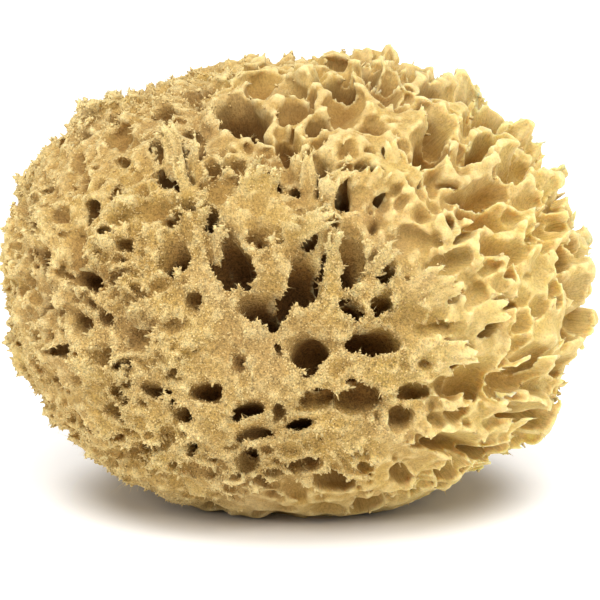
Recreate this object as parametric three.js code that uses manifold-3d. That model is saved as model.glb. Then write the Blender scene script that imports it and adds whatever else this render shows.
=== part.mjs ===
// Natural bath sponge: one rounded body that the animal grew as a single piece, riddled with open channels.
// Its front is listed pore by pore, its sides, top and back are filled in by a loop, and the underside is
// trimmed flat, so that the sponge stands as it does when it is drying.
// Millimetres, +Z up, the front towards -Y, the origin at the middle of the base.
import * as THREE from "three";
import { ConvexHull } from "three/addons/math/ConvexHull.js";
import { mergeVertices } from "three/addons/utils/BufferGeometryUtils.js";
import Module from "manifold-3d";

const wasm = await Module();
wasm.setup();

// Driving dimensions of the whole sponge.
const WIDTH = 148.5;
const DEPTH = 124;
const HEIGHT = 112;
const CENTRE_HEIGHT = 53; // of the sponge's middle above its trimmed base
const ROUNDNESS = 2.35; // 2 is an ellipsoid, and more is boxier

// Radius of the front outline round the middle, every 22.5 degrees, anticlockwise from the right.
const OUTLINE = [74.3, 72.5, 68, 63.5, 59, 61, 68, 75, 74.3, 72, 65.5, 60, 57.5, 60, 63.5, 72];

// Where the front pores are seen from: a viewpoint in front of the sponge and a little above it.
const VIEW_TILT = THREE.MathUtils.degToRad(11);
const VIEW_DISTANCE = 720;

// Each hollow has a cell of the surface round it. Its mouth leaves a land between it and the cell's border,
// and its floor is a share of the mouth's width. Without a land, the borders are left as sharp ridges.
const WIDEST_MOUTH = 0.84; // share of the way to the border
const CHANNEL_FLOOR = 0.6;
const DISH_FLOOR = 0.45;
const CHANNEL_DEPTH = 10; // a front pore at least this deep is a channel, and any other is a dish
const SMALLEST_FRONT_PORE = 3.5;

// Front pores as they are seen: across and up from the middle, wide, tall, turn in degrees, deep.
const FRONT_PORES = [
  // the big open channels of the middle
  [-18.3, 8.8, 12, 13.5, 0, 22],
  [-8, -3, 13, 9.5, 0, 26],
  [4.3, -15, 11.5, 10.8, 0, 16],
  [1.5, 5.3, 11, 12.5, 0, 22],
  [14.3, 9.5, 7.5, 12.5, 0, 14],
  [23.3, 8, 7.5, 7, 0, 18],
  [13.5, -2.3, 8.5, 7.5, 0, 16],
  [22, -0.3, 7.5, 6, 30, 18],
  [20.5, -13.8, 13.5, 9.5, 0, 11],
  [28.5, -10, 11, 11, 0, 5],
  [-33.3, 9.5, 7.5, 9.5, 0, 16],
  [-27.5, -4.3, 4, 3.8, 0, 8],
  [-5, -16, 2.3, 2.5, 0, 6],
  [-13.5, 1, 1.8, 2.3, 0, 5],
  [-25.3, -17.8, 4.5, 2.5, 0, 3],
  [-15.3, -20.5, 3.3, 4.8, 0, 6],
  // the lower face
  [-24.5, -24.5, 6.5, 6, 30, 11],
  [15.3, -25.3, 4, 2.3, 0, 8],
  [-37.5, -26.3, 8, 4.5, -25, 12],
  [-29.8, -32.3, 5.5, 4, -15, 12],
  [-28.5, -41.8, 3, 4, 0, 9],
  [-15, -29.8, 8.5, 6, 0, 12],
  [-11.8, -38.5, 10, 5.3, 0, 16],
  [-5.8, -31.5, 3.3, 6, 0, 5],
  [1.3, -36.8, 9, 3.2, 8, 12],
  [6, -29.5, 11, 7, 10, 7],
  [16.5, -30, 12, 8, 0, 6],
  [-6, -51, 5.5, 2.8, 0, 6],
  [8.8, -52, 10, 6.5, 0, 8],
  [26.8, -49.3, 6.5, 5.5, 0, 8],
  [16.3, -43.3, 3.5, 3, 0, 5],
  [-31.8, -47.5, 3.5, 2.5, 0, 4],
  [-36.8, -42.5, 4.5, 3, 0, 4],
  [-31.5, -22.8, 5, 3, 0, 5],
  // the left side
  [-37.5, -13.3, 3, 4.5, 0, 10],
  [-43, -14, 9, 6, 0, 6],
  [-33.8, -10.3, 8, 4.5, 0, 3],
  [-46.8, -21.3, 5.5, 2.5, 0, 6],
  [-62.5, -16.8, 8.5, 4, -10, 7],
  [-51, -8.5, 4, 5, 0, 6],
  [-58.3, -24.8, 5.5, 4, 0, 4],
  [-50, 13.3, 3.8, 3.5, 0, 9],
  [-55.8, 19.3, 5, 6.5, 0, 7],
  [-49.3, 2.5, 3, 2.5, 0, 8],
  [-45.8, 11.3, 3.5, 4, 0, 6],
  [-59.5, 13.8, 3.5, 4, 0, 5],
  [-48.3, 23, 5.5, 3.5, 0, 6],
  [-47.5, 40, 6, 5, 0, 5],
  [-57.5, 33.8, 5, 5, 0, 5],
  [-44.5, 33.5, 4.7, 3.5, 0, 6],
  // the top left, with the widest channel
  [-16, 44.8, 14, 11.5, 0, 20],
  [-31.5, 38.5, 3.8, 2.2, 0, 6],
  [-30.5, 22.3, 6, 3.5, 20, 12],
  [-33.5, 29, 8.5, 5, 25, 7],
  [-20.3, 25, 6, 7.5, 0, 4],
  [-15.3, 30.5, 3.5, 2.5, 0, 9],
  [-9.5, 29.3, 2, 5, 0, 6],
  [-35.8, 16.8, 3, 2, 0, 6],
  [-7.5, 14.8, 8, 5.5, 0, 14],
  [-0.8, 24.3, 4, 2.3, 0, 8],
  // the top
  [8, 53, 11, 5, 0, 10],
  [5.5, 29.8, 8, 6.5, 0, 16],
  [17.5, 30.5, 3.5, 4.7, 0, 10],
  [11.5, 24.3, 3.5, 5.5, 0, 12],
  [28.8, 49.8, 3, 3, 0, 5],
  [27.5, 36, 5.5, 3, 0, 5],
  [28, 29.8, 2, 2, 0, 5],
  // the right side, where the walls between the channels stand out as blades
  [38.8, 17.3, 3.5, 3, 0, 7],
  [43, 13.3, 9, 3, 8, 6],
  [51.8, 30.5, 3, 3, 0, 5],
  [40.8, 27.5, 6.5, 2.5, 0, 5],
  [55.5, 19.3, 6.5, 4.5, 0, 6],
  [31, 13.5, 11, 7.5, 10, 6],
  [38, 5, 9.5, 8.5, 20, 6],
  [46, 7.5, 2.5, 3, 0, 4],
  [48.8, 1.5, 6, 3.5, 25, 6],
  [45.3, -4.3, 6, 6.5, 0, 7],
  [54.3, 2, 4, 6.5, 0, 9],
  [62.5, 11.8, 5.5, 4, 0, 6],
  [61.3, 2.5, 5, 2.5, 20, 6],
  [33, -2.3, 5.5, 3, 30, 9],
  [29.3, 1.5, 2, 2, 0, 5],
  [39.3, -10.5, 10, 3.2, 5, 7],
  [33.5, -11.8, 6, 4, 0, 6],
  [55, -5.8, 9, 3.5, 15, 8],
  [47.3, -20.5, 13, 11, 20, 14],
  [63.5, -15.5, 11, 5.5, 5, 12],
  [60, -23, 11, 8, 0, 10],
  [55.5, -29.3, 6.5, 4, -20, 8],
  [41, -33.3, 6.5, 5, 0, 8],
  [30, -27.5, 8.5, 4.5, 10, 10],
  [27.5, -34, 6, 6, 0, 8],
  [33.3, -40, 5.5, 5, 0, 9],
  [48.3, -37.3, 3.5, 3.5, 0, 4],
];

// Hollows of the top, sides and back, spread evenly by the golden angle, with ridges between them.
const SPREAD = 800;
const GOLDEN_ANGLE = Math.PI * (3 - Math.sqrt(5));
const JITTER = 0.09;
const SPACING = 4; // from the rim of one hollow to the middle of the next
const SPREAD_HOLLOW = { reach: 4, shallow: 5, deep: 12 };
const LAND_DENT = 1.2; // depth of the dents on the flat lands of the front
const BASE_MARGIN = 3; // hollows closer to the base than this are grown shut

// How far the peaks stand out where three cells meet.
const PEAK = { usual: 3.2, bladed: 6, lands: 0.5 };
const PEAK_START = 1.6; // the lowest peaks lie this far inside the outline

// Tufts: the tall ends of the walls. across, up, width, length, lean in degrees from straight up.
const TUFTS = [
  [-13, 22.5, 5.5, 10, 5],
  [-7, 22.5, 3.6, 9, -3],
  [-5, 17.5, 5, 7, -120],
  [6.5, 22, 5.5, 7, -20],
  [9.5, 26, 2.6, 8, -45],
  [17, 25, 5, 8, -30],
  [-2, 14, 5, 13, -70],
  [9.5, 5, 3.6, 11, 10],
  [20, 5, 3, 8, -50],
  [31, 0, 3.4, 9, -50],
  [34.5, -2, 4.5, 8, -60],
  [36, -16, 5, 11, -80],
  [45.5, -10, 4.5, 9, -75],
  [-33, 33, 5, 8, 30],
  [-27, 31, 3.4, 8, 10],
  [-28, 17, 5, 8, -60],
];
const TUFT_RISE = 0.42; // a tuft's lift off the surface for each mm of its length
const TUFT_SIDES = 5;
const TUFT_PROFILE = [[-0.1, 1.1], [0.6, 0.8], [1, 0.3]]; // shares of the length and of the width

// A number from 0 to 1 that is the same on every run.
let seed = 20417;
function chance() {
  seed = (Math.imul(seed, 1664525) + 1013904223) >>> 0;
  return seed / 4294967296;
}

const CENTRE = new THREE.Vector3(0, 0, CENTRE_HEIGHT);
const RIGHT = new THREE.Vector3(1, 0, 0);
const VIEW_UP = new THREE.Vector3(0, Math.sin(VIEW_TILT), Math.cos(VIEW_TILT));
const TO_EYE = new THREE.Vector3(0, -Math.cos(VIEW_TILT), Math.sin(VIEW_TILT));
const EYE = CENTRE.clone().addScaledVector(TO_EYE, VIEW_DISTANCE);
const LANDS = new THREE.Vector3(-0.05, -1, -0.05).normalize(); // towards the flat lands of the front

// Radius of the front outline at an angle, through the listed radii on a smooth closed curve.
function outlineRadius(angle) {
  const turn = (angle / (2 * Math.PI)) * OUTLINE.length;
  const k = Math.floor(turn);
  const t = turn - k;
  const at = (i) => OUTLINE[(i + 2 * OUTLINE.length) % OUTLINE.length];
  const [a, b, c, d] = [at(k - 1), at(k), at(k + 1), at(k + 2)];
  return b + 0.5 * t * (c - a + t * (2 * a - 5 * b + 4 * c - d + t * (3 * (b - c) + d - a)));
}

// Distance from the middle to the outer surface along a unit direction.
function surfaceRadius(direction) {
  const across = Math.hypot(direction.x, direction.z);
  const radius = outlineRadius(Math.atan2(direction.z, direction.x));
  const sum = (across / radius) ** ROUNDNESS + (Math.abs(direction.y) / (DEPTH / 2)) ** ROUNDNESS;
  return sum ** (-1 / ROUNDNESS);
}

const onSurface = (direction) => CENTRE.clone().addScaledVector(direction, surfaceRadius(direction));

// Two directions square to a given one and to each other.
function acrossFrom(direction) {
  const aside = Math.abs(direction.z) > 0.9 ? RIGHT : VIEW_UP;
  const side = new THREE.Vector3().crossVectors(direction, aside).normalize();
  return { side, other: new THREE.Vector3().crossVectors(direction, side) };
}

// Outward normal of the surface, from points close by.
function normalAt(direction) {
  const step = 0.03;
  const { side, other } = acrossFrom(direction);
  const edge = (v) => {
    const ahead = onSurface(direction.clone().addScaledVector(v, step).normalize());
    return ahead.sub(onSurface(direction.clone().addScaledVector(v, -step).normalize()));
  };
  const normal = new THREE.Vector3().crossVectors(edge(side), edge(other)).normalize();
  return normal.dot(direction) < 0 ? normal.negate() : normal;
}

// The surface direction that is seen at a place across and up from the middle.
function seenAt(across, up) {
  const aim = CENTRE.clone().addScaledVector(RIGHT, across).addScaledVector(VIEW_UP, up);
  const ray = aim.sub(EYE).normalize();
  const outside = (distance) => {
    const p = EYE.clone().addScaledVector(ray, distance).sub(CENTRE);
    return p.length() - surfaceRadius(p.clone().normalize());
  };
  const from = VIEW_DISTANCE - DEPTH;
  const steps = 400;
  let nearest = { distance: from, gap: Infinity };
  for (let i = 0; i <= steps; i++) {
    const distance = from + (DEPTH * 1.2 * i) / steps;
    const gap = outside(distance);
    if (gap < nearest.gap) nearest = { distance, gap };
    if (gap <= 0) break;
  }
  return EYE.clone().addScaledVector(ray, nearest.distance).sub(CENTRE).normalize();
}

function solidOf(points, triangles) {
  const vertProperties = new Float32Array(points.flatMap((p) => p.toArray()));
  const triVerts = new Uint32Array(triangles);
  return new wasm.Manifold(new wasm.Mesh({ numProp: 3, vertProperties, triVerts }));
}

// A solid from rings of points, where each ring turns by the right-hand rule about the way from the first
// ring to the last.
function solidOfRings(rings) {
  const sides = rings[0].length;
  const points = rings.flat();
  const middle = (ring) => ring.reduce((sum, p) => sum.add(p), new THREE.Vector3()).divideScalar(sides);
  const first = points.push(middle(rings[0])) - 1;
  const last = points.push(middle(rings.at(-1))) - 1;
  const triangles = [];
  for (let i = 0; i < sides; i++) {
    const j = (i + 1) % sides;
    triangles.push(first, j, i);
    for (let r = 0; r + 1 < rings.length; r++) {
      const [a, b] = [r * sides, (r + 1) * sides];
      triangles.push(a + i, a + j, b + j, a + i, b + j, b + i);
    }
    const end = (rings.length - 1) * sides;
    triangles.push(last, end + i, end + j);
  }
  return solidOf(points, triangles);
}

// One ring of a tuft: an oval spanned by two edge vectors.
function oval(centre, half, scale) {
  return Array.from({ length: TUFT_SIDES }, (_, i) => {
    const angle = (2 * Math.PI * i) / TUFT_SIDES;
    return centre
      .clone()
      .addScaledVector(half.wide, Math.cos(angle) * scale)
      .addScaledVector(half.tall, Math.sin(angle) * scale);
  });
}

// Edge vectors on the surface that are seen as wide and tall, turned by an angle.
function edgesAsSeen(direction, wide, tall, turn) {
  const normal = normalAt(direction);
  const facing = Math.max(normal.dot(TO_EYE), 0.45);
  const laid = (v) => v.clone().addScaledVector(TO_EYE, -normal.dot(v) / facing);
  const [right, up] = [laid(RIGHT), laid(VIEW_UP)];
  const angle = THREE.MathUtils.degToRad(turn);
  const along = (x, y) => right.clone().multiplyScalar(x).addScaledVector(up, y);
  return {
    wide: along((Math.cos(angle) * wide) / 2, (Math.sin(angle) * wide) / 2),
    tall: along((-Math.sin(angle) * tall) / 2, (Math.cos(angle) * tall) / 2),
  };
}

function frontHollows() {
  return FRONT_PORES.filter(([, , wide, tall]) => Math.max(wide, tall) >= SMALLEST_FRONT_PORE).map(
    ([across, up, wide, tall, turn, deep]) => {
      const direction = seenAt(across, up);
      const half = edgesAsSeen(direction, wide, tall, turn);
      const floor = deep < CHANNEL_DEPTH ? DISH_FLOOR : CHANNEL_FLOOR;
      return { direction, half, deep, reach: (wide + tall) / 4, floor };
    },
  );
}

// Share of the lands of the front at a direction, from 0 to 1.
const landsAt = (direction) => THREE.MathUtils.smoothstep(direction.dot(LANDS), 0.82, 0.93);

// Direction of one place on the golden-angle spiral, moved a little.
function spiralDirection(i) {
  const height = 1 - (2 * (i + 0.5)) / SPREAD;
  const ring = Math.sqrt(1 - height * height);
  const angle = i * GOLDEN_ANGLE;
  const moved = new THREE.Vector3(chance() - 0.5, chance() - 0.5, chance() - 0.5);
  return new THREE.Vector3(Math.cos(angle) * ring, Math.sin(angle) * ring, height)
    .addScaledVector(moved, JITTER)
    .normalize();
}

// Hollows along the spiral, clear of the front pores and of each other.
function spreadHollows(front) {
  const hollows = [...front];
  for (let i = 0; i < SPREAD; i++) {
    const direction = spiralDirection(i);
    const mouth = onSurface(direction);
    const gapTo = (other) => onSurface(other.direction).distanceTo(mouth) - other.reach;
    if (hollows.some((other) => gapTo(other) < SPACING)) continue;
    const open = mouth.z > BASE_MARGIN;
    const usual = THREE.MathUtils.lerp(SPREAD_HOLLOW.shallow, SPREAD_HOLLOW.deep, chance());
    const deep = open ? THREE.MathUtils.lerp(usual, LAND_DENT, landsAt(direction)) : 0;
    hollows.push({ direction, deep, reach: SPREAD_HOLLOW.reach, floor: DISH_FLOOR });
  }
  return hollows;
}

// Divides the surface into cells, one round each hollow, that are bordered midway between the rims. A cell
// is the list of its corners, anticlockwise from outside. The corners are the normals of the hull of the
// directions, each pushed out by the hollow's own angular size.
function cellsOf(hollows) {
  const points = hollows.map(({ direction, reach }) =>
    direction.clone().divideScalar(Math.cos(reach / surfaceRadius(direction))),
  );
  const cells = new Map(points.map((point) => [point, []]));
  const corners = [];
  for (const face of new ConvexHull().setFromPoints(points).faces) {
    const corner = corners.push(face.normal.clone()) - 1;
    let edge = face.edge;
    do {
      cells.get(edge.head().point).push(corner);
      edge = edge.next;
    } while (edge !== face.edge);
  }
  hollows.forEach(({ direction }, i) => {
    const { side, other } = acrossFrom(direction);
    const turn = (corner) => Math.atan2(corners[corner].dot(other), corners[corner].dot(side));
    cells.get(points[i]).sort((a, b) => turn(a) - turn(b));
  });
  return { corners, cells: points.map((point) => cells.get(point)) };
}

// Share of the way from a front pore's middle to a corner of its cell at which the pore's rim lies.
function rimShare({ direction, half }, corner) {
  const way = onSurface(corner).sub(onSurface(direction));
  const [x, y] = [half.wide, half.tall].map((edge) => way.dot(edge) / edge.lengthSq());
  return Math.min(1 / Math.hypot(x, y), WIDEST_MOUTH);
}

// How far a peak stands out: least on the lands of the front, most among the blades of the right side.
function peakAt(direction) {
  const bladed = THREE.MathUtils.smoothstep(direction.x, 0.3, 0.75);
  const tall = THREE.MathUtils.lerp(PEAK.usual, PEAK.bladed, bladed);
  return THREE.MathUtils.lerp(tall, PEAK.lands, landsAt(direction));
}

// The body with all its hollows, before it is trimmed: a net of cells, each let in by a rim and a floor ring.
function bodySolid() {
  const hollows = spreadHollows(frontHollows());
  const { corners, cells } = cellsOf(hollows);
  const points = [];
  const triangles = [];
  const place = (direction, out) =>
    points.push(CENTRE.clone().addScaledVector(direction, surfaceRadius(direction) + out)) - 1;
  const ringOf = ({ direction }, cell, shares, deep) =>
    cell.map((corner, i) => place(direction.clone().lerp(corners[corner], shares[i]).normalize(), -deep));
  const band = (outer, inner) => {
    outer.forEach((a, i) => {
      const j = (i + 1) % outer.length;
      triangles.push(a, outer[j], inner[j], a, inner[j], inner[i]);
    });
  };
  const fill = (ring) => {
    for (let i = 2; i < ring.length; i++) triangles.push(ring[0], ring[i - 1], ring[i]);
  };
  for (const corner of corners) {
    const shut = onSurface(corner).z < BASE_MARGIN;
    place(corner, shut ? -PEAK_START : peakAt(corner) * chance() - PEAK_START);
  }
  hollows.forEach((hollow, i) => {
    const cell = cells[i];
    if (cell.length < 3) return;
    let border = cell;
    let shares = cell.map(() => 1);
    if (hollow.half) {
      shares = cell.map((corner) => rimShare(hollow, corners[corner]));
      const rim = ringOf(hollow, cell, shares, PEAK_START);
      band(border, rim);
      border = rim;
    }
    if (hollow.deep === 0) return fill(border);
    const floor = ringOf(hollow, cell, shares.map((share) => share * hollow.floor), hollow.deep + PEAK_START);
    band(border, floor);
    fill(floor);
  });
  return solidOf(points, triangles);
}

// A tuft is a flattened cone that grows out of the wall between two pores and leans as it is seen.
function tuftSolid([across, up, width, length, lean]) {
  const direction = seenAt(across, up);
  const normal = normalAt(direction);
  const angle = THREE.MathUtils.degToRad(lean);
  const along = RIGHT.clone().multiplyScalar(-Math.sin(angle)).addScaledVector(VIEW_UP, Math.cos(angle));
  along.addScaledVector(normal, TUFT_RISE - along.dot(normal)).normalize();
  const side = new THREE.Vector3().crossVectors(along, normal).normalize();
  const thick = new THREE.Vector3().crossVectors(along, side);
  const half = { wide: side.multiplyScalar(width / 2), tall: thick.multiplyScalar(width / 4) };
  const foot = onSurface(direction).addScaledVector(along, -length / 2).addScaledVector(normal, -width / 3);
  const at = (share) => foot.clone().addScaledVector(along, length * share);
  return solidOfRings(TUFT_PROFILE.map(([share, scale]) => oval(at(share), half, scale)));
}

// What lies below the base: the sponge was trimmed flat here.
function trimmings() {
  const block = new THREE.BoxGeometry(2 * WIDTH, 2 * DEPTH, HEIGHT);
  block.deleteAttribute("normal");
  block.deleteAttribute("uv");
  block.translate(0, 0, -HEIGHT / 2);
  const merged = mergeVertices(block, 1e-4);
  const position = merged.getAttribute("position");
  const pointAt = (i) => new THREE.Vector3().fromBufferAttribute(position, i);
  const points = Array.from({ length: position.count }, (_, i) => pointAt(i));
  return solidOf(points, merged.index.array);
}

function spongeGeometry() {
  const tufted = TUFTS.map(tuftSolid).reduce((body, tuft) => body.add(tuft), bodySolid());
  const trimmed = tufted.subtract(trimmings());
  const sponge = trimmed.decompose().reduce((a, b) => (a.volume() > b.volume() ? a : b));
  const { vertProperties, triVerts } = sponge.getMesh();
  const geometry = new THREE.BufferGeometry();
  geometry.setAttribute("position", new THREE.BufferAttribute(new Float32Array(vertProperties), 3));
  geometry.setIndex(new THREE.BufferAttribute(new Uint32Array(triVerts), 1));
  fitToSize(geometry);
  geometry.computeVertexNormals();
  return geometry;
}

// Brings the finished sponge to its driving dimensions, centred over the origin.
function fitToSize(geometry) {
  geometry.computeBoundingBox();
  const size = geometry.boundingBox.getSize(new THREE.Vector3());
  const middle = geometry.boundingBox.getCenter(new THREE.Vector3());
  geometry.translate(-middle.x, -middle.y, 0);
  geometry.scale(WIDTH / size.x, DEPTH / size.y, HEIGHT / size.z);
}

const straw = new THREE.MeshStandardMaterial({ color: 0xc8a669, roughness: 0.95, metalness: 0 });
straw.flatShading = true;
const sponge = new THREE.Mesh(spongeGeometry(), straw);
sponge.name = "sponge";

const part = new THREE.Group();
part.add(sponge);
export default part;
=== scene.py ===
import math

import bpy
import numpy as np
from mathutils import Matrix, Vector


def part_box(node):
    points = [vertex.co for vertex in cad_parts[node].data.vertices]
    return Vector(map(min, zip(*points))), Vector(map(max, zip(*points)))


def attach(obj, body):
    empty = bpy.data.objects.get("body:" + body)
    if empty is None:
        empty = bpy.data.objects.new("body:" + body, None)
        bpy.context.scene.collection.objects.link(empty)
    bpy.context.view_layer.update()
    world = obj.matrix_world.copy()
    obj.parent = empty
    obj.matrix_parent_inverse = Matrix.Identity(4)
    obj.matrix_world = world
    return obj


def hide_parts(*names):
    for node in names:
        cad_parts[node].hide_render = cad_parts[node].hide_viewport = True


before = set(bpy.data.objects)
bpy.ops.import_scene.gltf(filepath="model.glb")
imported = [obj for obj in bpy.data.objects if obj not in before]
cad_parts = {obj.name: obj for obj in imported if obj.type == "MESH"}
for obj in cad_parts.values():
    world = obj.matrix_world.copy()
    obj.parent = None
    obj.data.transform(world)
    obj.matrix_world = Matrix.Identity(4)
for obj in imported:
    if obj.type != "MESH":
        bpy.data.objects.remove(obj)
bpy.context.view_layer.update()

import openvdb
from mathutils import Vector

# The view is that of someone who looks at the sponge on a table from a little above, through a long lens.
# Lengths are worked out in millimetres here, and MM brings them to Blender's metres.
MM = 0.001
MIDDLE = Vector((0, 0, 53))  # of the sponge, above the table
VIEW_TILT = math.radians(11)
VIEW_DISTANCE = 720
VIEW_WIDTH = 150  # what the picture takes in at the sponge's middle
VIEW_LOWERED = 3.75  # of the picture's middle below the sponge's
VIEW_UP = Vector((0, math.sin(VIEW_TILT), math.cos(VIEW_TILT)))
TO_EYE = Vector((0, -math.cos(VIEW_TILT), math.sin(VIEW_TILT)))
EYE = MIDDLE + TO_EYE * VIEW_DISTANCE

bpy.ops.object.camera_add(
    location=(EYE - VIEW_UP * VIEW_LOWERED) * MM,
    rotation=(math.pi / 2 - VIEW_TILT, 0, 0),
)
camera = bpy.context.object
camera.data.sensor_width = 36
camera.data.lens = 36 * VIEW_DISTANCE / VIEW_WIDTH
bpy.context.scene.camera = camera


def srgb(red, green, blue):
    """Linear colour of a shade that is given as 0 to 255 on a screen."""
    def linear(value):
        value /= 255
        return value / 12.92 if value <= 0.04045 else ((value + 0.055) / 1.055) ** 2.4
    return (linear(red), linear(green), linear(blue), 1.0)


# The sponge lies on a white table in a white room, under one broad soft light from above and the front.
# A weak fill from each side keeps the knobs on the left and the thin blades on the right from going dull.
bpy.ops.object.select_all(action="DESELECT")
bpy.ops.mesh.primitive_plane_add(size=6)
table = bpy.context.object
table.name = "table"
table_white = bpy.data.materials.new("table_white")
table_white.use_nodes = True
nodes, links = table_white.node_tree.nodes, table_white.node_tree.links
shader = nodes["Principled BSDF"]
shader.inputs["Base Color"].default_value = srgb(214, 211, 206)
shader.inputs["Roughness"].default_value = 0.9
shader.inputs["Emission Color"].default_value = (1, 1, 1, 1)
# painted shadow and painted glow: the sheet glows though it is no lamp, fading to none near the sponge's
# middle, which leaves it darker under the sponge
away = nodes.new("ShaderNodeVectorMath")
away.operation = "LENGTH"
links.new(nodes.new("ShaderNodeTexCoord").outputs["Object"], away.inputs[0])
painted_shadow_fade = nodes.new("ShaderNodeMapRange")
painted_shadow_fade.interpolation_type = "SMOOTHSTEP"
SHADED_TO = 0.044  # metres from the sponge's middle
BRIGHT_FROM = 0.068
PAINTED_FLOOR_GLOW = 0.55
painted_shadow_fade.inputs["From Min"].default_value = SHADED_TO
painted_shadow_fade.inputs["From Max"].default_value = BRIGHT_FROM
painted_shadow_fade.inputs["To Min"].default_value = 0.0
painted_shadow_fade.inputs["To Max"].default_value = PAINTED_FLOOR_GLOW
links.new(away.outputs["Value"], painted_shadow_fade.inputs["Value"])
links.new(painted_shadow_fade.outputs["Result"], shader.inputs["Emission Strength"])
table.data.materials.append(table_white)

world = bpy.data.worlds.new("white_room")
bpy.context.scene.world = world
world.use_nodes = True
world.node_tree.nodes["Background"].inputs["Color"].default_value = (1, 1, 1, 1)
world.node_tree.nodes["Background"].inputs["Strength"].default_value = 0.43
bpy.context.scene.view_settings.view_transform = "Standard"


def soft_light(name, place, size, power):
    """A square lamp that is turned to the middle of the sponge."""
    bpy.ops.object.light_add(type="AREA", location=place)
    lamp = bpy.context.object
    lamp.name = name
    lamp.data.size = size
    lamp.data.energy = power
    lamp.rotation_euler = (MIDDLE * MM - Vector(place)).to_track_quat("-Z", "Y").to_euler()


bpy.ops.object.light_add(type="SUN", rotation=(math.radians(32), math.radians(4), 0))
skylight = bpy.context.object
skylight.name = "skylight"
skylight.data.energy = 3.15
skylight.data.angle = math.radians(45)
soft_light("right_fill", (0.8, -0.25, 0.35), 0.5, 1.5)
soft_light("left_fill", (-0.75, -0.5, 0.45), 0.5, 2.3)

# The sponge is one body of felted fibre that grew round the channels that it pumps water through. Dried and
# trimmed at the base, it shows open channels with flat lands in front, thin blades between deep flutes on
# the right, small knobs on the left and tufts on top. It is modelled as what is left between the channels.
ROUNDNESS = 2.35  # 2 would be an ellipsoid, and more is fuller
DEPTH = 124
# radii of the outline as it is seen, all round from the right side up
OUTLINE = np.array([74.3, 72.5, 68, 63.5, 59, 61, 68, 75, 74.3, 72, 65.5, 60, 57.5, 60, 63.5, 72])
LANDS = Vector((-0.05, -1, -0.05)).normalized()  # the way that the flat lands face
middle = np.array(MIDDLE)
seen_up = np.array(VIEW_UP)
to_eye = np.array(TO_EYE)
eye = np.array(EYE)

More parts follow.
